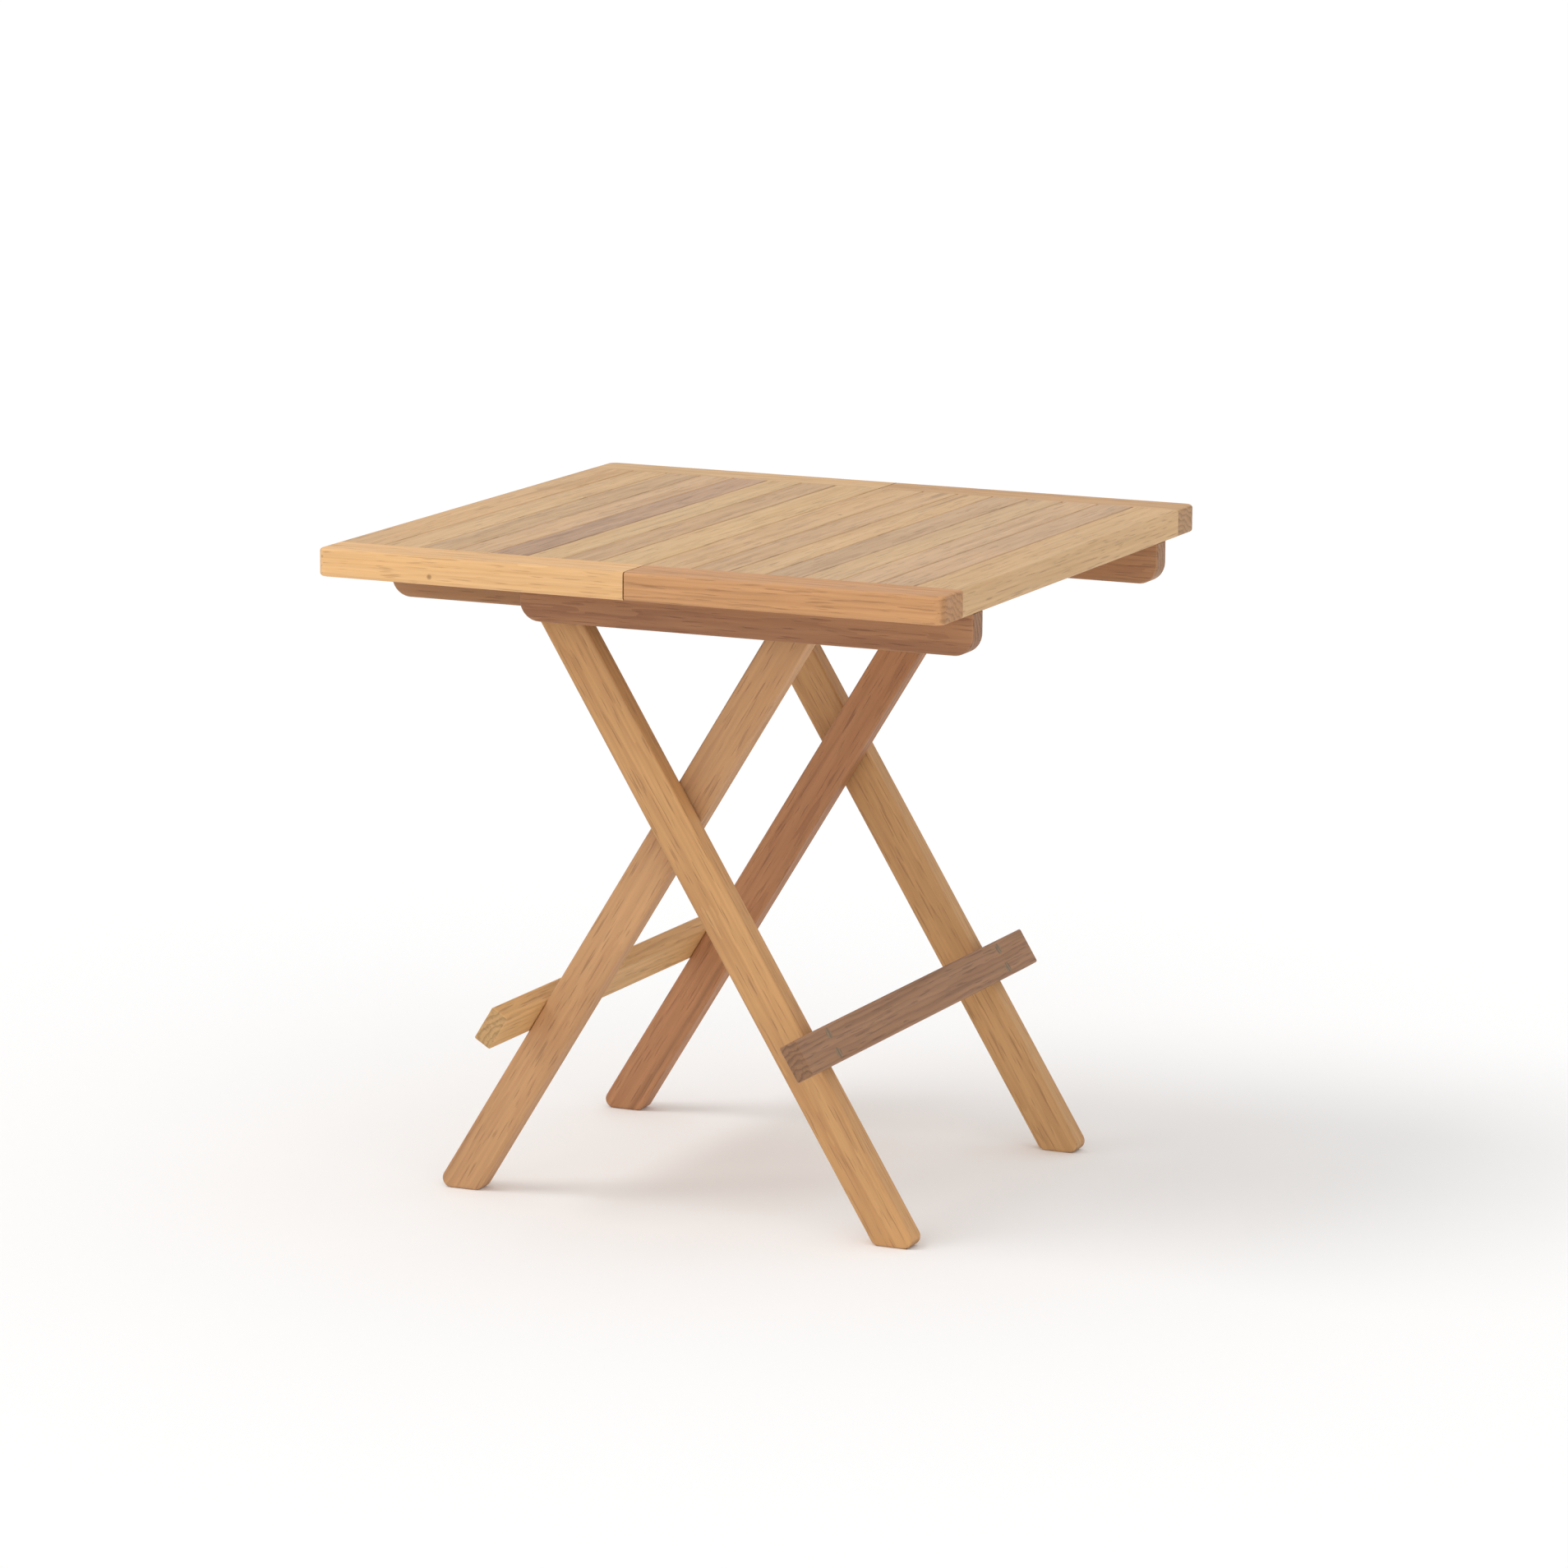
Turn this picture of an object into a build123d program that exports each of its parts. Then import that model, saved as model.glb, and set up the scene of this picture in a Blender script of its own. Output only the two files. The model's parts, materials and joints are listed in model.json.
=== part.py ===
from build123d import *
import os
from math import atan2, cos, hypot, radians, sin

# A small folding teak table: a slatted top in two halves on crossed legs.
# Frame: X along the row of slats, Y along the slats, Z up, origin on the floor below the middle.
# The outer legs carry the right half and the inner legs carry the left half.

# Table top
top_length = 500.0          # along X, both halves together
top_depth = 500.0           # along Y
table_height = 500.0
top_thickness = 21.0
seam_gap = 1.0              # between the two halves
board_width = 37.0          # front and back boards
outer_stile_width = 37.0
slat_count = 6              # in each half
slat_width = 28.2
slat_gap = 1.0
corner_radius = 8.0
edge_radius = 2.5
slat_edge = 0.6
tenon_length = 12.0
tenon_thickness = 8.0
tenon_shoulder = 5.0        # each side of a tenon
tenon_clearance = 0.1

# Rails under the top
rail_height = 31.5
rail_thickness = 18.0
rail_face = 190.5           # outer face of the right half's rails, from the middle
rail_inset = 1.0            # outer end, from the edge of the top
rail_end_radius = 15.5
rail_edge = 1.5

# Legs
leg_width = 31.0
leg_thickness = 18.0
leg_edge = 2.0
foot_radius = 7.0
crossing_height = 302.0
pivot_reach = 98.5          # pivots of the halves, from the seam
leg_top_clearance = 1.0     # between a leg's round top and the underside of the top
pivot_end = 14.5            # pivots from the inner end of the rails
pivot_gap = 1.0             # between a rail and its leg
crossing_gap = 2.0          # between the crossed legs

# Stretchers
stretcher_overhang = 44.5     # beyond the outer legs, at each end
stretcher_width = 29.0
stretcher_thickness = 15.0
stretcher_edge = 1.5
stretcher_distance = 200.0  # along the leg, below the crossing

# Pins, washers and screws
pin_radius = 4.0
pin_depth = 12.0
running_clearance = 0.05
fixed_clearance = 0.01
washer_radius = 10.0
washer_play = 0.2
screw_radius = 2.2
screw_head_radius = 4.0
screw_head_height = 3.0
stretcher_screw_bite = 20.0
plug_radius = 4.2
plug_depth = 4.5
plug_spacing = 16.0
rail_screw_recess = 15.0
rail_screw_bite = 14.0

# Levels, planes of the layers and lines that follow from the sizes above
underside = table_height - top_thickness
half_depth = top_depth / 2
board_face = half_depth - board_width
half_length = (top_length - seam_gap) / 2
slat_pitch = slat_width + slat_gap
inner_stile_width = half_length - outer_stile_width - slat_count * slat_width - (slat_count + 1) * slat_gap
pivot_height = underside - leg_width / 2 - leg_top_clearance
rail_reach = pivot_reach + pivot_end
outer_leg_face = rail_face - rail_thickness - pivot_gap
inner_leg_face = outer_leg_face - leg_thickness - crossing_gap
inner_rail_face = inner_leg_face - leg_thickness - pivot_gap
stretcher_length = 2 * (outer_leg_face + stretcher_overhang)
lean = atan2(pivot_reach, pivot_height - crossing_height)
os.makedirs("parts", exist_ok=True)


def save(piece, name):
    piece.part.label = name
    export_step(piece.part, f"parts/{name}.step")


def is_outer_rim(edge, hand):
    """Edges of the top's outer rim, at its top or its underside."""
    middle = edge.center()
    at_level = min(abs(middle.Z - table_height), abs(middle.Z - underside)) < edge_radius / 10
    at_rim = abs(middle.Y) > half_depth - corner_radius / 2 or hand * middle.X > top_length / 2 - corner_radius / 2
    return at_level and at_rim


# --- Table top ---------------------------------------------------------------

def slat_bays(hand):
    """Lowest and highest X distance from the seam of every piece between the two end boards."""
    bays = {"inner_stile": (seam_gap / 2, seam_gap / 2 + inner_stile_width)}
    start = seam_gap / 2 + inner_stile_width + slat_gap
    for number in range(1, slat_count + 1):
        bays[f"slat_{number}"] = (start, start + slat_width)
        start += slat_pitch
    bays["outer_stile"] = (start, start + outer_stile_width)
    return {name: (hand * (low + high) / 2, high - low) for name, (low, high) in bays.items()}


def make_board(hand, side, name):
    """An end board across one half, with a blind mortise for each slat and stile."""
    with BuildPart() as board:
        with BuildSketch(Plane.XY.offset(underside)) as outline:
            with Locations((hand * (seam_gap / 2 + half_length / 2), side * (half_depth - board_width / 2))):
                Rectangle(half_length, board_width)
            corner = outline.vertices().sort_by(lambda v: hand * v.X + side * v.Y)[-1]
            fillet(corner, corner_radius)
        extrude(amount=top_thickness)
        fillet([edge for edge in board.edges() if is_outer_rim(edge, hand)], edge_radius)
        with BuildSketch(Plane.XZ.offset(-side * board_face)) as mortises:
            for centre, width in slat_bays(hand).values():
                with Locations((centre, underside + top_thickness / 2)):
                    Rectangle(width - 2 * tenon_shoulder + 2 * tenon_clearance, tenon_thickness + 2 * tenon_clearance)
        extrude(amount=-side * (tenon_length + tenon_clearance), mode=Mode.SUBTRACT)
    save(board, name)


def make_slat(hand, name, centre, width):
    """A slat or stile with a tenon at each end; a stile's free edge is rounded like the boards."""
    with BuildPart() as slat:
        with BuildSketch(Plane.XY.offset(underside)):
            with Locations((centre, 0)):
                Rectangle(width, 2 * board_face)
        extrude(amount=top_thickness)
        long_edges = slat.edges().filter_by(Axis.Y)
        rim = [edge for edge in long_edges if is_outer_rim(edge, hand)]
        if rim:
            fillet(rim, edge_radius)
        top_edges = [
            edge
            for edge in slat.faces().sort_by(Axis.Z)[-1].edges().filter_by(Axis.Y)
            if hand * edge.center().X < top_length / 2 - 2 * edge_radius
        ]
        chamfer(top_edges, slat_edge)
        with BuildSketch(Plane.XZ.offset(-board_face - tenon_length)):
            with Locations((centre, underside + top_thickness / 2)):
                Rectangle(width - 2 * tenon_shoulder, tenon_thickness)
        extrude(amount=2 * (board_face + tenon_length))
        for rail in rail_faces(hand):
            for place in screw_places(hand):
                if abs(place - centre) < width / 2:
                    drill(place, rail, underside, rail_screw_bite, screw_radius)
    save(slat, name)


def drill(x, y, z, depth, radius):
    """A blind vertical hole upwards from a level, in the part being built."""
    with BuildSketch(Plane.XY.offset(z)) as hole:
        with Locations((x, y)):
            Circle(radius + fixed_clearance)
    extrude(hole.sketch, amount=depth + fixed_clearance, mode=Mode.SUBTRACT)


# --- Rails -------------------------------------------------------------------

def rail_outer_face(hand):
    return rail_face if hand > 0 else inner_rail_face


def rail_faces(hand):
    """Middle planes of the two rails of a half."""
    middle = rail_outer_face(hand) - rail_thickness / 2
    return (-middle, middle)


def screw_places(hand):
    """X of the rail screws: one in each stile and one in a middle slat."""
    bays = slat_bays(hand)
    return [bays[name][0] for name in ("inner_stile", f"slat_{slat_count // 2 + 1}", "outer_stile")]


def make_rail(hand, side, name):
    """A rail runs from the half's free edge past the seam to the pivot under the other half."""
    outer = rail_outer_face(hand)
    low, high = -rail_reach, top_length / 2 - rail_inset
    with BuildPart() as rail:
        with BuildSketch(Plane.XZ.offset(-side * outer)) as outline:
            with Locations((hand * (low + high) / 2, underside - rail_height / 2)):
                Rectangle(high - low, rail_height)
            fillet(outline.vertices().group_by(Axis.Y)[0], rail_end_radius)
        extrude(amount=side * rail_thickness)
        faces = rail.faces().filter_by(Axis.Y)
        eased = [edge for edge in faces.edges() if edge.center().Z < underside - rail_edge]
        fillet(eased, rail_edge)
        pivot_face = outer - rail_thickness if hand > 0 else outer
        with BuildSketch(Plane.XZ.offset(-side * pivot_face)):
            with Locations((-hand * pivot_reach, pivot_height)):
                Circle(pin_radius + fixed_clearance)
        extrude(amount=-hand * side * pin_depth, mode=Mode.SUBTRACT)
        middle = side * (outer - rail_thickness / 2)
        for place in screw_places(hand):
            drill(place, middle, underside - rail_height, rail_height, screw_radius)
            drill(place, middle, underside - rail_height, rail_screw_recess + screw_head_height, screw_head_radius)
    save(rail, name)


def make_rail_screws(hand, name):
    """Countersunk wood screws that go up through the rails into the stiles and a slat."""
    head_level = underside - rail_height + rail_screw_recess
    with BuildPart() as screws:
        with BuildSketch(Plane.XY.offset(head_level)):
            with Locations(*[(x, y) for x in screw_places(hand) for y in rail_faces(hand)]):
                Circle(screw_head_radius)
        extrude(amount=screw_head_height)
        with BuildSketch(Plane.XY.offset(head_level)):
            with Locations(*[(x, y) for x in screw_places(hand) for y in rail_faces(hand)]):
                Circle(screw_radius)
        extrude(amount=underside + rail_screw_bite - head_level)
    save(screws, name)


def make_pivot_pins(hand, name):
    """Blind steel pins, one at each side, that join a half's rails to its legs."""
    near = rail_face - rail_thickness if hand > 0 else inner_leg_face - leg_thickness
    with BuildPart() as pins:
        for side in (-1, 1):
            with BuildSketch(Plane.XZ.offset(-side * (near + pin_depth))):
                with Locations((-hand * pivot_reach, pivot_height)):
                    Circle(pin_radius)
            extrude(amount=side * (pivot_gap + 2 * pin_depth))
    save(pins, name)


# --- Leg frames --------------------------------------------------------------

def leg_point(hand, along, across):
    """X and Z of a point on a leg: distance below the crossing, and offset to its upper narrow face."""
    x = along * sin(lean) + across * cos(lean)
    z = crossing_height - along * cos(lean) + across * sin(lean)
    return (hand * x, z)


def leg_bores(hand, side, face):
    """The leg's two blind pin bores: the half's pivot on its rail's side, the crossing on the other leg's side."""
    inner = face - leg_thickness
    pivot_face, crossing_face = (face, inner) if hand > 0 else (inner, face)
    crossing_clearance = fixed_clearance if hand > 0 else running_clearance
    for x, z, start, clearance in (
        (-hand * pivot_reach, pivot_height, pivot_face, running_clearance),
        (0, crossing_height, crossing_face, crossing_clearance),
    ):
        with BuildSketch(Plane.XZ.offset(-side * start)) as bore:
            with Locations((x, z)):
                Circle(pin_radius + clearance)
        direction = 1 if start == face else -1
        extrude(bore.sketch, amount=direction * side * (pin_depth + clearance), mode=Mode.SUBTRACT)


def make_leg(hand, side, name):
    """A leg leans across the table, is round about its pivot and is cut flat on the floor."""
    face = outer_leg_face if hand > 0 else inner_leg_face
    half_width = leg_width / 2
    top = -hypot(pivot_reach, pivot_height - crossing_height)
    foot = [(crossing_height + across * sin(lean)) / cos(lean) for across in (-half_width, half_width)]
    with BuildPart() as leg:
        with BuildSketch(Plane.XZ.offset(-side * face)) as outline:
            with BuildLine():
                Polyline(
                    leg_point(hand, top, -half_width),
                    leg_point(hand, foot[0], -half_width),
                    leg_point(hand, foot[1], half_width),
                    leg_point(hand, top, half_width),
                )
                ThreePointArc(
                    leg_point(hand, top, half_width),
                    leg_point(hand, top - half_width, 0),
                    leg_point(hand, top, -half_width),
                )
            make_face()
            fillet(outline.vertices().group_by(Axis.Y)[0], foot_radius)
        extrude(amount=side * leg_thickness)
        fillet(leg.faces().filter_by(Axis.Y).edges(), leg_edge)
        leg_bores(hand, side, face)
        with BuildSketch(stretcher_plane(hand)):
            with Locations(*[place for place in stretcher_screws(hand) if place[0] * side > 0]):
                Circle(screw_radius + fixed_clearance)
        extrude(amount=-stretcher_screw_bite - fixed_clearance, mode=Mode.SUBTRACT)
    save(leg, name)


def stretcher_plane(hand, lift=0.0):
    """Plane on the legs' upper narrow faces, with local X along Y, raised by a distance."""
    x, z = leg_point(hand, stretcher_distance, leg_width / 2 + lift)
    return Plane(origin=(x, 0, z), x_dir=(0, 1, 0), z_dir=(hand * cos(lean), 0, sin(lean)))


def stretcher_screws(hand):
    """Places of the stretcher's screws on that plane: two in each leg, in line along it."""
    middle = (outer_leg_face if hand > 0 else inner_leg_face) - leg_thickness / 2
    return [(side * middle, end * plug_spacing / 2) for side in (-1, 1) for end in (-1, 1)]


def make_stretcher(hand, name):
    with BuildPart() as stretcher:
        with BuildSketch(stretcher_plane(hand)):
            Rectangle(stretcher_length, stretcher_width)
        extrude(amount=stretcher_thickness)
        fillet(stretcher.edges(), stretcher_edge)
        with BuildSketch(stretcher_plane(hand)):
            with Locations(*stretcher_screws(hand)):
                Circle(screw_radius + fixed_clearance)
        extrude(amount=stretcher_thickness, mode=Mode.SUBTRACT)
        with BuildSketch(stretcher_plane(hand, stretcher_thickness)):
            with Locations(*stretcher_screws(hand)):
                Circle(plug_radius + fixed_clearance)
        extrude(amount=-plug_depth - screw_head_height, mode=Mode.SUBTRACT)
    save(stretcher, name)


def make_stretcher_screws(hand, name):
    head_lift = stretcher_thickness - plug_depth
    with BuildPart() as screws:
        with BuildSketch(stretcher_plane(hand, head_lift)):
            with Locations(*stretcher_screws(hand)):
                Circle(screw_head_radius)
        extrude(amount=-screw_head_height)
        with BuildSketch(stretcher_plane(hand, head_lift)):
            with Locations(*stretcher_screws(hand)):
                Circle(screw_radius)
        extrude(amount=-head_lift - stretcher_screw_bite)
    save(screws, name)


def make_plugs(hand, name):
    """Teak plugs that cover the screw heads, flush with the stretcher."""
    with BuildPart() as plugs:
        with BuildSketch(stretcher_plane(hand, stretcher_thickness)):
            with Locations(*stretcher_screws(hand)):
                Circle(plug_radius)
        extrude(amount=-plug_depth)
    save(plugs, name)


def make_washers(x, z, low, high, name):
    """A washer at each side, in the gap between two layers."""
    with BuildPart() as washers:
        for side in (-1, 1):
            with BuildSketch(Plane.XZ.offset(-side * (high - washer_play))):
                with Locations((x, z)):
                    Circle(washer_radius)
                    Circle(pin_radius + 2 * running_clearance, mode=Mode.SUBTRACT)
            extrude(amount=side * (high - low - 2 * washer_play))
    save(washers, name)


def make_scissor_pins(name):
    inner = outer_leg_face - leg_thickness
    with BuildPart() as pins:
        for side in (-1, 1):
            with BuildSketch(Plane.XZ.offset(-side * (inner + pin_depth))):
                with Locations((0, crossing_height)):
                    Circle(pin_radius)
            extrude(amount=side * (crossing_gap + 2 * pin_depth))
    save(pins, name)


# --- Every piece -------------------------------------------------------------

for half, hand in (("right", 1), ("left", -1)):
    for place, side in (("front", -1), ("back", 1)):
        make_board(hand, side, f"{half}_{place}_board")
        make_rail(hand, side, f"{half}_{place}_rail")
    for bay, (centre, width) in slat_bays(hand).items():
        make_slat(hand, f"{half}_{bay}", centre, width)
    make_rail_screws(hand, f"{half}_rail_screws")
    make_pivot_pins(hand, f"{half}_pivot_pins")

for frame, hand in (("outer", 1), ("inner", -1)):
    for place, side in (("front", -1), ("back", 1)):
        make_leg(hand, side, f"{frame}_{place}_leg")
    make_stretcher(hand, f"{frame}_stretcher")
    make_stretcher_screws(hand, f"{frame}_stretcher_screws")
    make_plugs(hand, f"{frame}_stretcher_plugs")

make_scissor_pins("scissor_pins")
make_washers(0, crossing_height, inner_leg_face, outer_leg_face - leg_thickness, "scissor_washers")
make_washers(-pivot_reach, pivot_height, outer_leg_face, rail_face - rail_thickness, "outer_pivot_washers")
make_washers(pivot_reach, pivot_height, inner_rail_face, inner_leg_face - leg_thickness, "inner_pivot_washers")
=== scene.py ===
import bpy
import json
import math
from bpy.props import FloatProperty, FloatVectorProperty, PointerProperty
from mathutils import Matrix, Vector


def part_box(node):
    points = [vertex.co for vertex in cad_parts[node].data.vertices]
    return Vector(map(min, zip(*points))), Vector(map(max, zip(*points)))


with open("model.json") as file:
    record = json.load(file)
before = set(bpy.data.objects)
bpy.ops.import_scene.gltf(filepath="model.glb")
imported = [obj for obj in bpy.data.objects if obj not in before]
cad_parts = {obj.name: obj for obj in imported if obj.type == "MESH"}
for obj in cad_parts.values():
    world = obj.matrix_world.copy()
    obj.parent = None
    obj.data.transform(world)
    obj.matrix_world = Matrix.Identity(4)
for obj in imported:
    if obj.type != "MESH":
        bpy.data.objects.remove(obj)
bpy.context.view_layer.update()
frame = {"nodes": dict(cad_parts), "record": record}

bl_info = {
    "name": "Folding teak table finishes",
    "version": (1, 0, 0),
    "blender": (4, 5, 0),
    "location": "View3D > Sidebar > Teak table",
    "description": "Gives a folding slatted teak table its grain, hardware finish and studio stage",
    "category": "Object",
}

nodes = frame["nodes"]
joints = {joint["name"]: joint for joint in frame["record"]["behaviour"]["joints"]}
crossing = joints["fold"]["pos_m"]
right_pivot = joints["right_swing"]["pos_m"]
leg_lean = math.atan2(abs(right_pivot[0]), right_pivot[2] - crossing[2])

# Where the middle of each kind of piece lies from the middle of its log, along and across the grain
SLAT_HEART = (0.05, 0.011, 0.055)
BOARD_HEART = (0.08, 0.02, 0.045)
RAIL_HEART = (0.03, 0.05, 0.012)
LEG_HEART = (0.06, 0.045, 0.014)
STRETCHER_HEART = (0.05, 0.012, 0.016)
PLUG_HEART = (0.02, 0.01, 0.02)

# How much each part of the figure shows, from 0 to 1
LATE_WOOD_SHARE = 0.55
STRAND_SHARE = 0.50
BLOTCH_SHARE = 0.55
STREAK_SHARE = 0.55
END_GRAIN_SHARE = 0.85
PORE_SHARE = 0.42
KNOT_SHARE = 0.7

# How bright the changed spots are, as a share of the wood's or the metal's own colour
WARM_TONE = (1.12, 1.10, 1.05)
END_LIGHT_TONE = 0.80
END_DARK_TONE = 0.62
KNOT_TONE = 0.45
PORE_TONE = 0.55
SCRATCH_TONE = 0.7

# Where a pin knot stops being solid and where it ends, as a share of the space between knots
KNOT_CORE = 0.012
KNOT_EDGE = 0.032

# Which way the grain runs: a turn of the grain's own X axis about the world's axes.
ALONG_X = (0.0, 0.0, 0.0)
ALONG_Y = (0.0, 0.0, math.pi / 2)
OUTER_LEG = (0.0, math.pi / 2 - leg_lean, 0.0)
INNER_LEG = (0.0, leg_lean - math.pi / 2, 0.0)

# Teak tones as light wood, dark grain and share of dark
TONES = {
    "left_front_board": ((0.80, 0.48, 0.22), (0.60, 0.32, 0.12), 0.30),
    "right_front_board": ((0.62, 0.32, 0.14), (0.42, 0.20, 0.08), 0.42),
    "left_back_board": ((0.65, 0.41, 0.20), (0.46, 0.26, 0.12), 0.30),
    "right_back_board": ((0.58, 0.34, 0.16), (0.37, 0.19, 0.09), 0.40),
    "left_outer_stile": ((0.64, 0.40, 0.20), (0.45, 0.25, 0.11), 0.34),
    "left_slat_6": ((0.66, 0.43, 0.22), (0.46, 0.26, 0.12), 0.30),
    "left_slat_5": ((0.60, 0.39, 0.21), (0.40, 0.24, 0.12), 0.40),
    "left_slat_4": ((0.62, 0.40, 0.22), (0.43, 0.25, 0.13), 0.36),
    "left_slat_3": ((0.50, 0.31, 0.19), (0.33, 0.195, 0.12), 0.55),
    "left_slat_2": ((0.65, 0.43, 0.22), (0.47, 0.28, 0.13), 0.30),
    "left_slat_1": ((0.57, 0.36, 0.19), (0.41, 0.24, 0.12), 0.42),
    "left_inner_stile": ((0.66, 0.43, 0.21), (0.49, 0.29, 0.13), 0.28),
    "right_inner_stile": ((0.64, 0.40, 0.20), (0.46, 0.27, 0.13), 0.32),
    "right_slat_1": ((0.60, 0.38, 0.20), (0.42, 0.25, 0.13), 0.38),
    "right_slat_2": ((0.64, 0.41, 0.21), (0.46, 0.27, 0.13), 0.32),
    "right_slat_3": ((0.57, 0.37, 0.21), (0.40, 0.24, 0.13), 0.44),
    "right_slat_4": ((0.62, 0.41, 0.22), (0.44, 0.27, 0.14), 0.34),
    "right_slat_5": ((0.63, 0.41, 0.23), (0.47, 0.29, 0.16), 0.30),
    "right_slat_6": ((0.59, 0.38, 0.22), (0.43, 0.27, 0.15), 0.36),
    "right_outer_stile": ((0.62, 0.40, 0.20), (0.45, 0.26, 0.12), 0.26),
    "right_front_rail": ((0.42, 0.21, 0.10), (0.24, 0.10, 0.05), 0.50),
    "right_back_rail": ((0.47, 0.25, 0.12), (0.30, 0.14, 0.07), 0.50),
    "left_front_rail": ((0.40, 0.21, 0.10), (0.25, 0.12, 0.06), 0.46),
    "left_back_rail": ((0.47, 0.26, 0.12), (0.30, 0.14, 0.07), 0.46),
    "outer_front_leg": ((0.60, 0.33, 0.135), (0.42, 0.20, 0.08), 0.36),
    "outer_back_leg": ((0.58, 0.33, 0.14), (0.42, 0.21, 0.09), 0.34),
    "inner_front_leg": ((0.56, 0.31, 0.145), (0.39, 0.19, 0.09), 0.38),
    "inner_back_leg": ((0.48, 0.23, 0.105), (0.33, 0.14, 0.065), 0.46),
    "outer_stretcher": ((0.38, 0.20, 0.10), (0.22, 0.11, 0.06), 0.55),
    "inner_stretcher": ((0.70, 0.42, 0.18), (0.46, 0.26, 0.11), 0.42),
    "outer_stretcher_plugs": ((0.36, 0.24, 0.14), (0.20, 0.12, 0.07), 0.5),
    "inner_stretcher_plugs": ((0.44, 0.30, 0.17), (0.28, 0.18, 0.10), 0.5),
}


class TeakGrain(bpy.types.PropertyGroup):
    """Sizes and colours of the grain"""

    ring_pitch: FloatProperty(
        name="Ring pitch", description="Distance between growth rings", default=0.0046, unit="LENGTH")
    ring_bend: FloatProperty(name="Ring bend", description="How far the rings wander", default=5.5)
    fibre_size: FloatProperty(
        name="Fibre size", description="Width of the fine fibres", default=0.0011, unit="LENGTH")
    fibre_stretch: FloatProperty(name="Fibre stretch", description="Length of a fibre over its width",
                                 default=38.0)
    pore_size: FloatProperty(name="Pore size", description="Width of the open pores", default=0.0007,
                             unit="LENGTH")
    blotch_size: FloatProperty(name="Blotch size", description="Size of the tone patches", default=0.075,
                               unit="LENGTH")
    knot_spacing: FloatProperty(
        name="Knot spacing", description="Distance between small pin knots", default=0.085, unit="LENGTH")
    streak_colour: FloatVectorProperty(
        name="Mineral streak", description="Colour of the dark mineral streaks", subtype="COLOR",
        default=(0.17, 0.085, 0.045))
    bump_height: FloatProperty(
        name="Grain relief", description="Depth of the open grain", default=0.00022, unit="LENGTH")
    roughness: FloatProperty(name="Roughness", description="Roughness of sanded teak", default=0.58)


class Hardware(bpy.types.PropertyGroup):
    """Colours of the metal pieces"""

    steel_colour: FloatVectorProperty(
        name="Steel", description="Colour of pins and screws", subtype="COLOR", default=(0.56, 0.56, 0.55))
    brass_colour: FloatVectorProperty(
        name="Brass", description="Colour of the washers", subtype="COLOR", default=(0.72, 0.53, 0.26))


class Studio(bpy.types.PropertyGroup):
    """The floor, the lamps and the camera"""

    floor_size: FloatProperty(name="Floor size", description="Width of the floor", default=120.0,
                              unit="LENGTH")
    floor_colour: FloatVectorProperty(
        name="Floor colour", description="Colour of the floor", subtype="COLOR", default=(0.97, 0.97, 0.97))
    sky_strength: FloatProperty(name="Sky strength", description="Soft light from all round", default=0.80)
    key_strength: FloatProperty(name="Key strength", description="Strength of the soft key lamp",
                                default=0.80)
    fill_strength: FloatProperty(name="Fill strength", description="Strength of the wide fill lamp",
                                 default=0.35)
    camera_right: FloatProperty(name="Camera right", description="Camera X", default=2.100, unit="LENGTH")
    camera_front: FloatProperty(name="Camera front", description="Camera Y", default=-4.6435, unit="LENGTH")
    camera_height: FloatProperty(name="Camera height", description="Camera Z", default=1.2795, unit="LENGTH")
    camera_turn: FloatProperty(name="Turn", description="Camera turn to the left",
                               default=math.radians(24.17),
                               subtype="ANGLE")
    camera_dip: FloatProperty(name="Dip", description="Camera dip below level", default=math.radians(10.86),
                              subtype="ANGLE")
    camera_roll: FloatProperty(name="Roll", description="Camera roll", default=math.radians(0.41),
                               subtype="ANGLE")
    lens_angle: FloatProperty(name="View angle", description="Width of the view", subtype="ANGLE",
                              default=math.radians(13.0735))


class NodeMaker:
    """Adds and links the nodes of one material."""

    def __init__(self, name):
        self.material = bpy.data.materials.new(name)
        self.material.use_nodes = True
        self.tree = self.material.node_tree
        self.shader = self.tree.nodes["Principled BSDF"]

    def add(self, kind, settings=None, **inputs):
        node = self.tree.nodes.new(kind)
        for key, value in (settings or {}).items():
            setattr(node, key, value)
        for key, value in inputs.items():
            self.feed(node, key.replace("_", " "), value)
        return node

    def feed(self, node, key, value):
        socket = node.inputs[int(key[1:])] if key[0] == "i" and key[1:].isdigit() else node.inputs[key]
        if isinstance(value, bpy.types.NodeSocket):
            self.tree.links.new(value, socket)
        else:
            socket.default_value = value

    def maths(self, operation, first, second=0.0, third=0.0):
        return self.add("ShaderNodeMath", {"operation": operation}, i0=first, i1=second, i2=third).outputs[0]

    def mix(self, share, first, second, blend="MIX"):
        node = self.tree.nodes.new("ShaderNodeMix")
        node.data_type = "RGBA"
        node.blend_type = blend
        for index, value in ((0, share), (6, first), (7, second)):
            self.feed(node, f"i{index}", value)
        return node.outputs[2]

    def span(self, value, low, high, to_low=0.0, to_high=1.0):
        node = self.add("ShaderNodeMapRange", {"clamp": True, "interpolation_type": "SMOOTHSTEP"})
        for index, amount in enumerate((value, low, high, to_low, to_high)):
            self.feed(node, f"i{index}", amount)
        return node.outputs[0]


def opaque(colour, factor=1.0):
    """The colour as a shader socket takes it, made darker or lighter by a factor."""
    return (*(part * factor for part in colour), 1.0)


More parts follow.
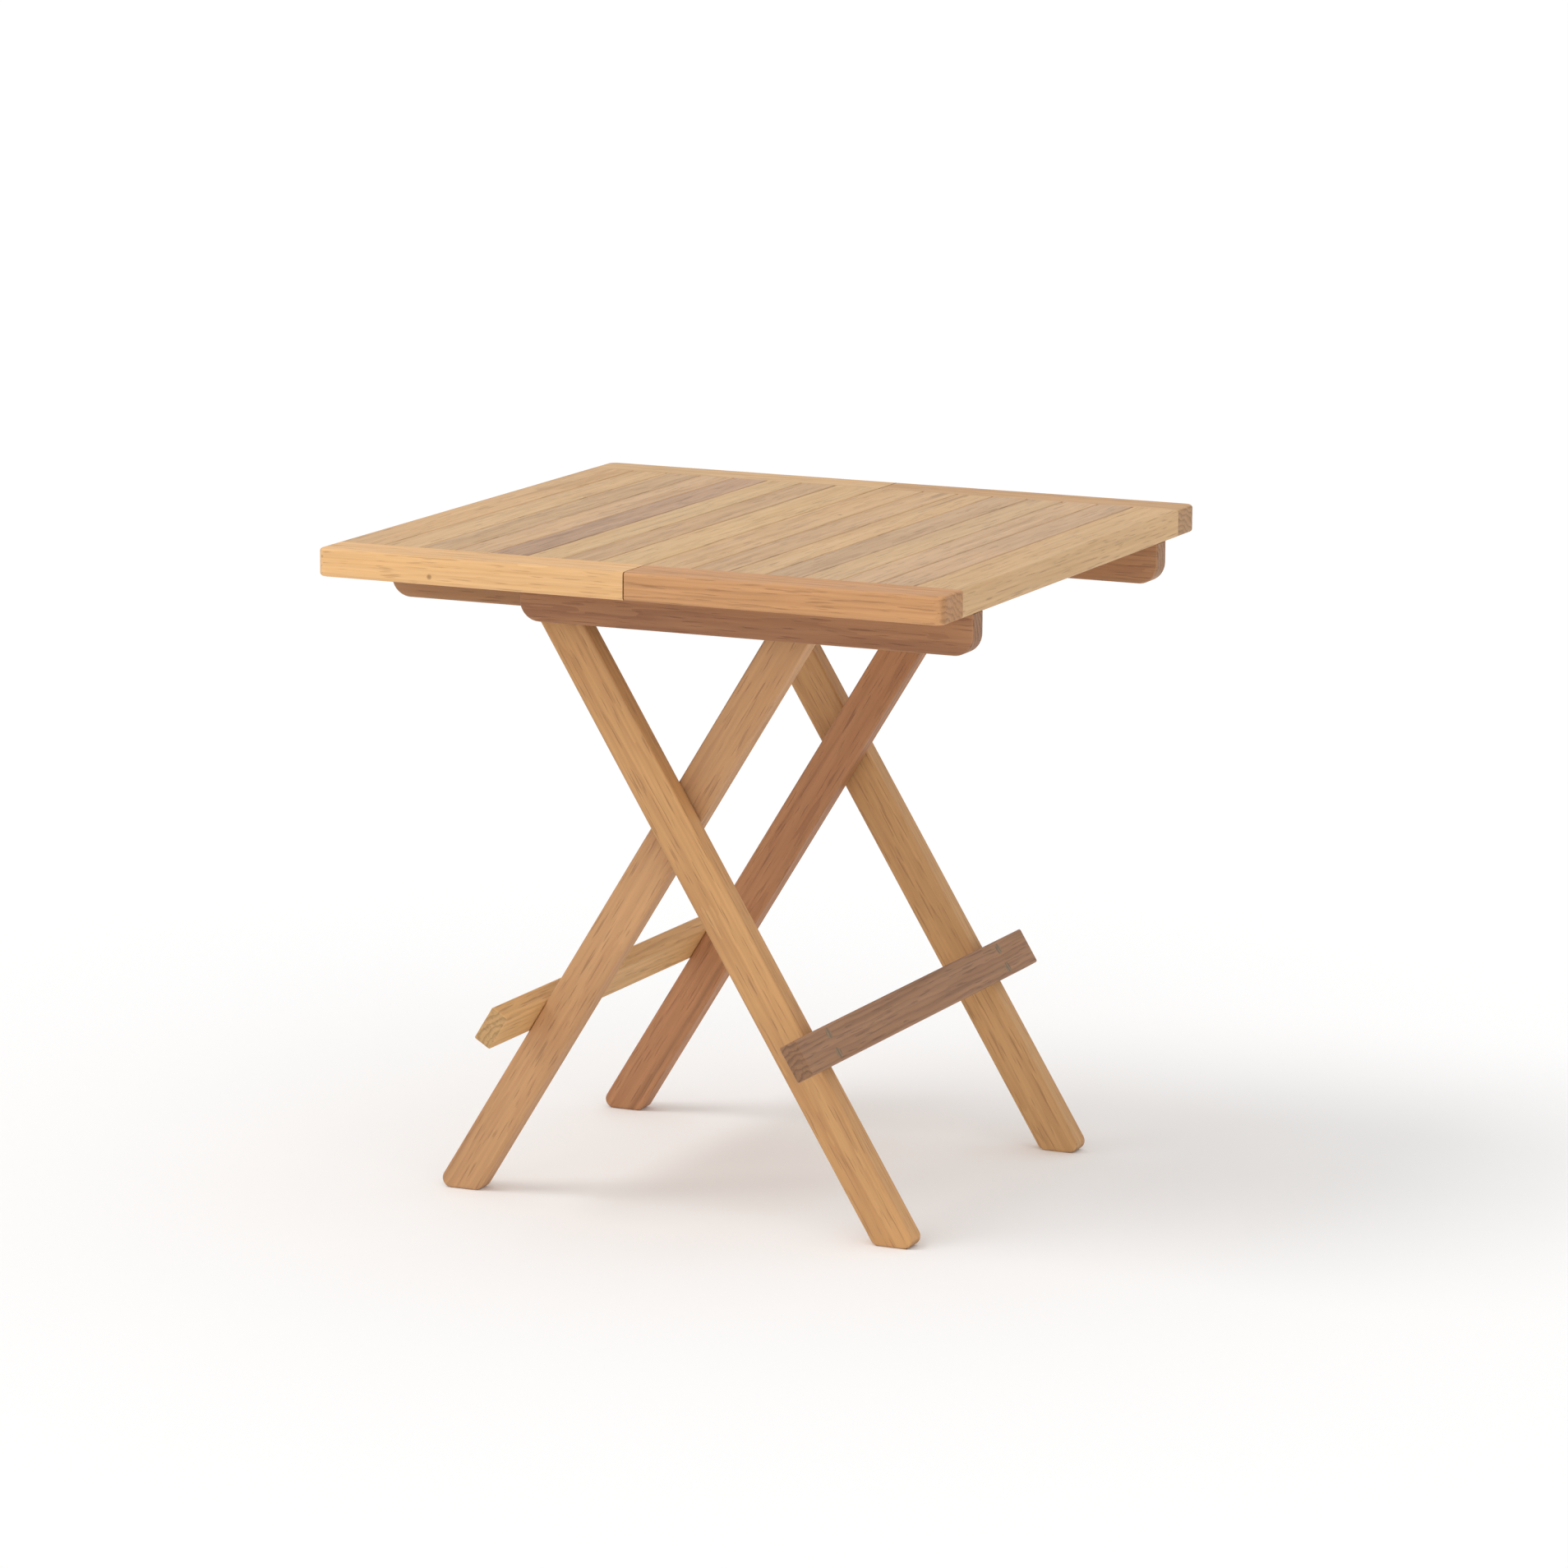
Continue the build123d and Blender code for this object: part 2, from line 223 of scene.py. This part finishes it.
def teak(name, turn, heart, seed, grain):
    """Teak with grain along a turned X axis; heart is where its middle lies in the log."""
    light, dark, share = TONES[name]
    maker = NodeMaker(f"teak_{name}")
    low, high = (Vector(corner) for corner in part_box(name))
    middle = (low + high) / 2
    place = maker.add("ShaderNodeTexCoord").outputs["Object"]
    centred = maker.add("ShaderNodeVectorMath", {"operation": "SUBTRACT"}, i0=place, i1=middle).outputs[0]
    along = maker.add("ShaderNodeVectorRotate", {"rotation_type": "EULER_XYZ", "invert": True},
                      Vector=centred, Rotation=turn).outputs[0]
    from_heart = maker.add("ShaderNodeVectorMath", {"operation": "ADD"}, i0=along, i1=heart).outputs[0]
    shift = (seed * 1.37, seed * 0.71, 0.0)
    shifted = maker.add("ShaderNodeVectorMath", {"operation": "ADD"}, i0=along, i1=shift).outputs[0]

    def stretched(stretch, size, detail=2.0, rough=0.5):
        squeezed = maker.add("ShaderNodeVectorMath", {"operation": "MULTIPLY"},
                             i0=shifted, i1=(1.0 / stretch, 1.0, 1.0)).outputs[0]
        return maker.add("ShaderNodeTexNoise", Vector=squeezed, Scale=1.0 / size, Detail=detail,
                         Roughness=rough).outputs[0]

    slow = maker.add("ShaderNodeVectorMath", {"operation": "MULTIPLY"}, i0=from_heart,
                     i1=(0.10, 1.0, 1.0)).outputs[0]
    rings = maker.add("ShaderNodeTexWave",
                      {"wave_type": "RINGS", "rings_direction": "X", "wave_profile": "SAW"},
                      Vector=slow, Scale=0.05 * math.tau / grain.ring_pitch, Distortion=grain.ring_bend,
                      Detail=2.0, i4=1.6, i5=0.55).outputs["Fac"]
    late_wood = maker.span(rings, 0.35, 1.0)
    fibres = stretched(grain.fibre_stretch, grain.fibre_size * 2, 3.0, 0.6)
    strands = stretched(grain.fibre_stretch * 0.6, grain.fibre_size * 7, 3.0, 0.55)
    blotches = stretched(4.0, grain.blotch_size, 2.0)
    pores = maker.span(stretched(20.0, grain.pore_size * 2, 1.0), 0.60, 0.70)
    strand_figure = maker.maths("MULTIPLY", maker.span(strands, 0.30, 0.72), STRAND_SHARE)
    figure = maker.maths("MULTIPLY_ADD", late_wood, LATE_WOOD_SHARE, strand_figure)
    figure = maker.maths("MULTIPLY", figure, share + 0.25)
    colour = maker.mix(figure, opaque(light), opaque(dark))
    warm = opaque(tuple(min(1.0, part * factor) for part, factor in zip(light, WARM_TONE)))
    colour = maker.mix(maker.span(blotches, 0.42, 0.74, 0.0, BLOTCH_SHARE), colour, warm)
    streak = maker.span(stretched(26.0, grain.fibre_size * 11, 2.0), 0.62 - share * 0.06, 0.84, 0.0,
                        STREAK_SHARE)
    colour = maker.mix(streak, colour, opaque(grain.streak_colour))
    across = maker.add("ShaderNodeNewGeometry").outputs["Normal"]
    facing = maker.add("ShaderNodeVectorRotate", {"rotation_type": "EULER_XYZ", "invert": True},
                       Vector=across, Rotation=turn).outputs[0]
    cut_end = maker.add("ShaderNodeSeparateXYZ", i0=facing).outputs[0]
    cut_end = maker.span(maker.maths("ABSOLUTE", cut_end), 0.55, 0.9)
    end_colour = maker.mix(maker.maths("MULTIPLY_ADD", late_wood, 0.6, 0.2), opaque(light, END_LIGHT_TONE),
                           opaque(dark, END_DARK_TONE))
    colour = maker.mix(maker.maths("MULTIPLY", cut_end, END_GRAIN_SHARE), colour, end_colour)
    knots = maker.add("ShaderNodeTexVoronoi", Vector=shifted,
                      Scale=1.0 / grain.knot_spacing).outputs["Distance"]
    knot = maker.span(knots, KNOT_CORE, KNOT_EDGE, KNOT_SHARE, 0.0)
    colour = maker.mix(knot, colour, opaque(dark, KNOT_TONE))
    fine = maker.span(fibres, 0.25, 0.75, 0.92, 1.06)
    fine_grey = maker.add("ShaderNodeCombineColor", i0=fine, i1=fine, i2=fine).outputs[0]
    colour = maker.mix(1.0, colour, fine_grey, "MULTIPLY")
    colour = maker.mix(maker.maths("MULTIPLY", pores, PORE_SHARE), colour, opaque(dark, PORE_TONE))
    maker.feed(maker.shader, "Base Color", colour)
    maker.feed(maker.shader, "Roughness",
               maker.span(strands, 0.2, 0.8, grain.roughness - 0.07, grain.roughness + 0.08))
    maker.feed(maker.shader, "Specular IOR Level", 0.38)
    relief = maker.maths("SUBTRACT", maker.maths("MULTIPLY", fibres, 0.6), pores)
    bump = maker.add("ShaderNodeBump", Height=relief, Distance=grain.bump_height, Strength=0.55)
    maker.feed(maker.shader, "Normal", bump.outputs[0])
    return maker.material


def metal(name, colour, roughness):
    maker = NodeMaker(name)
    place = maker.add("ShaderNodeTexCoord").outputs["Object"]
    brushed = maker.add("ShaderNodeTexNoise", Vector=place, Scale=900.0, Detail=3.0).outputs[0]
    maker.feed(maker.shader, "Base Color", maker.mix(brushed, opaque(colour, SCRATCH_TONE), opaque(colour)))
    maker.feed(maker.shader, "Metallic", 1.0)
    maker.feed(maker.shader, "Roughness", maker.span(brushed, 0.3, 0.7, roughness - 0.08, roughness + 0.1))
    return maker.material


def finish(name, material):
    """Puts one material over the whole of a CAD piece."""
    for slot in nodes[name].material_slots:
        slot.material = material


def finish_teak(names, turn, heart):
    grain = bpy.context.scene.teak_grain
    for index, name in enumerate(names):
        seed = 3.0 + index * 5.7 + sum(ord(letter) for letter in name) % 97
        away = tuple(part * (1.0 + 0.35 * math.sin(seed)) for part in heart)
        finish(name, teak(name, turn, away, seed, grain))


class TABLE_OT_top(bpy.types.Operator):
    """Finish the slats, stiles and end boards of both halves"""
    bl_idname = "teak_table.top"
    bl_label = "Finish the top"

    def execute(self, context):
        bays = ["inner_stile", "outer_stile"] + [f"slat_{number}" for number in range(1, 7)]
        for half in ("left", "right"):
            finish_teak([f"{half}_{bay}" for bay in bays], ALONG_Y, SLAT_HEART)
            finish_teak([f"{half}_{place}_board" for place in ("front", "back")], ALONG_X, BOARD_HEART)
        return {"FINISHED"}


class TABLE_OT_rails(bpy.types.Operator):
    """Finish the rails under both halves"""
    bl_idname = "teak_table.rails"
    bl_label = "Finish the rails"

    def execute(self, context):
        names = [f"{half}_{place}_rail" for half in ("left", "right") for place in ("front", "back")]
        finish_teak(names, ALONG_X, RAIL_HEART)
        return {"FINISHED"}


class TABLE_OT_legs(bpy.types.Operator):
    """Finish the crossed legs"""
    bl_idname = "teak_table.legs"
    bl_label = "Finish the legs"

    def execute(self, context):
        finish_teak(["outer_front_leg", "outer_back_leg"], OUTER_LEG, LEG_HEART)
        finish_teak(["inner_front_leg", "inner_back_leg"], INNER_LEG, LEG_HEART)
        return {"FINISHED"}


class TABLE_OT_stretchers(bpy.types.Operator):
    """Finish the stretchers and the plugs in them"""
    bl_idname = "teak_table.stretchers"
    bl_label = "Finish the stretchers"

    def execute(self, context):
        finish_teak(["outer_stretcher", "inner_stretcher"], ALONG_Y, STRETCHER_HEART)
        finish_teak(["outer_stretcher_plugs", "inner_stretcher_plugs"], ALONG_X, PLUG_HEART)
        return {"FINISHED"}


class TABLE_OT_hardware(bpy.types.Operator):
    """Finish the steel pins and screws and the brass washers"""
    bl_idname = "teak_table.hardware"
    bl_label = "Finish the hardware"

    def execute(self, context):
        hardware = context.scene.table_hardware
        steel = metal("brushed_steel", tuple(hardware.steel_colour), 0.34)
        brass = metal("satin_brass", tuple(hardware.brass_colour), 0.38)
        for name in frame["nodes"]:
            if "pins" in name or "screws" in name:
                finish(name, steel)
            elif "washers" in name:
                finish(name, brass)
        return {"FINISHED"}


class TABLE_OT_stage(bpy.types.Operator):
    """Lay the floor, hang the lamps and set the camera"""
    bl_idname = "teak_table.stage"
    bl_label = "Set the stage"

    def execute(self, context):
        studio = context.scene.table_studio
        lay_floor(studio)
        hang_lamps(studio)
        set_camera(studio)
        context.scene.view_settings.view_transform = "Standard"
        return {"FINISHED"}


def lay_floor(studio):
    half = studio.floor_size / 2
    mesh = bpy.data.meshes.new("floor")
    mesh.from_pydata([(-half, -half, 0), (half, -half, 0), (half, half, 0), (-half, half, 0)], [],
                     [(0, 1, 2, 3)])
    floor = bpy.data.objects.new("floor", mesh)
    bpy.context.scene.collection.objects.link(floor)
    maker = NodeMaker("pale_floor")
    maker.feed(maker.shader, "Base Color", opaque(studio.floor_colour))
    maker.feed(maker.shader, "Roughness", 0.9)
    maker.feed(maker.shader, "Specular IOR Level", 0.0)
    mesh.materials.append(maker.material)


def hang_lamps(studio):
    world = bpy.data.worlds.new("studio")
    bpy.context.scene.world = world
    world.use_nodes = True
    tree = world.node_tree
    background = tree.nodes["Background"]
    background.inputs["Color"].default_value = (1, 1, 1, 1)
    rays = tree.nodes.new("ShaderNodeLightPath")
    level = tree.nodes.new("ShaderNodeMapRange")
    level.inputs["To Min"].default_value = studio.sky_strength
    level.inputs["To Max"].default_value = 1.0
    tree.links.new(rays.outputs["Is Camera Ray"], level.inputs["Value"])
    tree.links.new(level.outputs[0], background.inputs["Strength"])
    for name, place, softness, strength in (
        ("key", (-1.6, -1.1, 2.4), 0.55, studio.key_strength),
        ("fill", (1.6, -2.4, 1.4), 1.20, studio.fill_strength),
    ):
        lamp = bpy.data.lights.new(name, "SUN")
        lamp.angle = softness
        lamp.energy = strength
        holder = bpy.data.objects.new(name, lamp)
        holder.location = place
        holder.rotation_euler = (-Vector(place)).to_track_quat("-Z", "Y").to_euler()
        bpy.context.scene.collection.objects.link(holder)


def set_camera(studio):
    camera = bpy.data.cameras.new("camera")
    camera.sensor_fit = "HORIZONTAL"
    camera.angle = studio.lens_angle
    camera.clip_end = studio.floor_size
    holder = bpy.data.objects.new("camera", camera)
    turn = (Matrix.Rotation(studio.camera_turn, 4, "Z")
            @ Matrix.Rotation(math.pi / 2 - studio.camera_dip, 4, "X")
            @ Matrix.Rotation(studio.camera_roll, 4, "Z"))
    holder.matrix_world = Matrix.Translation(
        (studio.camera_right, studio.camera_front, studio.camera_height)) @ turn
    bpy.context.scene.collection.objects.link(holder)
    bpy.context.scene.camera = holder


class TABLE_PT_panel(bpy.types.Panel):
    """Steps and sizes of the table"""
    bl_label = "Teak table"
    bl_idname = "TABLE_PT_panel"
    bl_space_type = "VIEW_3D"
    bl_region_type = "UI"
    bl_category = "Teak table"

    def draw(self, context):
        for step in STEPS:
            self.layout.operator(step.bl_idname)
        for group in (context.scene.teak_grain, context.scene.table_hardware, context.scene.table_studio):
            for key in group.__annotations__:
                self.layout.prop(group, key)


GROUPS = {"teak_grain": TeakGrain, "table_hardware": Hardware, "table_studio": Studio}
STEPS = (TABLE_OT_top, TABLE_OT_rails, TABLE_OT_legs, TABLE_OT_stretchers, TABLE_OT_hardware, TABLE_OT_stage)


def register():
    for kind in (*GROUPS.values(), *STEPS, TABLE_PT_panel):
        bpy.utils.register_class(kind)
    for name, kind in GROUPS.items():
        setattr(bpy.types.Scene, name, PointerProperty(type=kind))


def unregister():
    for name in GROUPS:
        delattr(bpy.types.Scene, name)
    for kind in reversed((*GROUPS.values(), *STEPS, TABLE_PT_panel)):
        bpy.utils.unregister_class(kind)


def main():
    register()
    for step in STEPS:
        group, name = step.bl_idname.split(".")
        getattr(getattr(bpy.ops, group), name)()


if __name__ == "__main__":
    main()
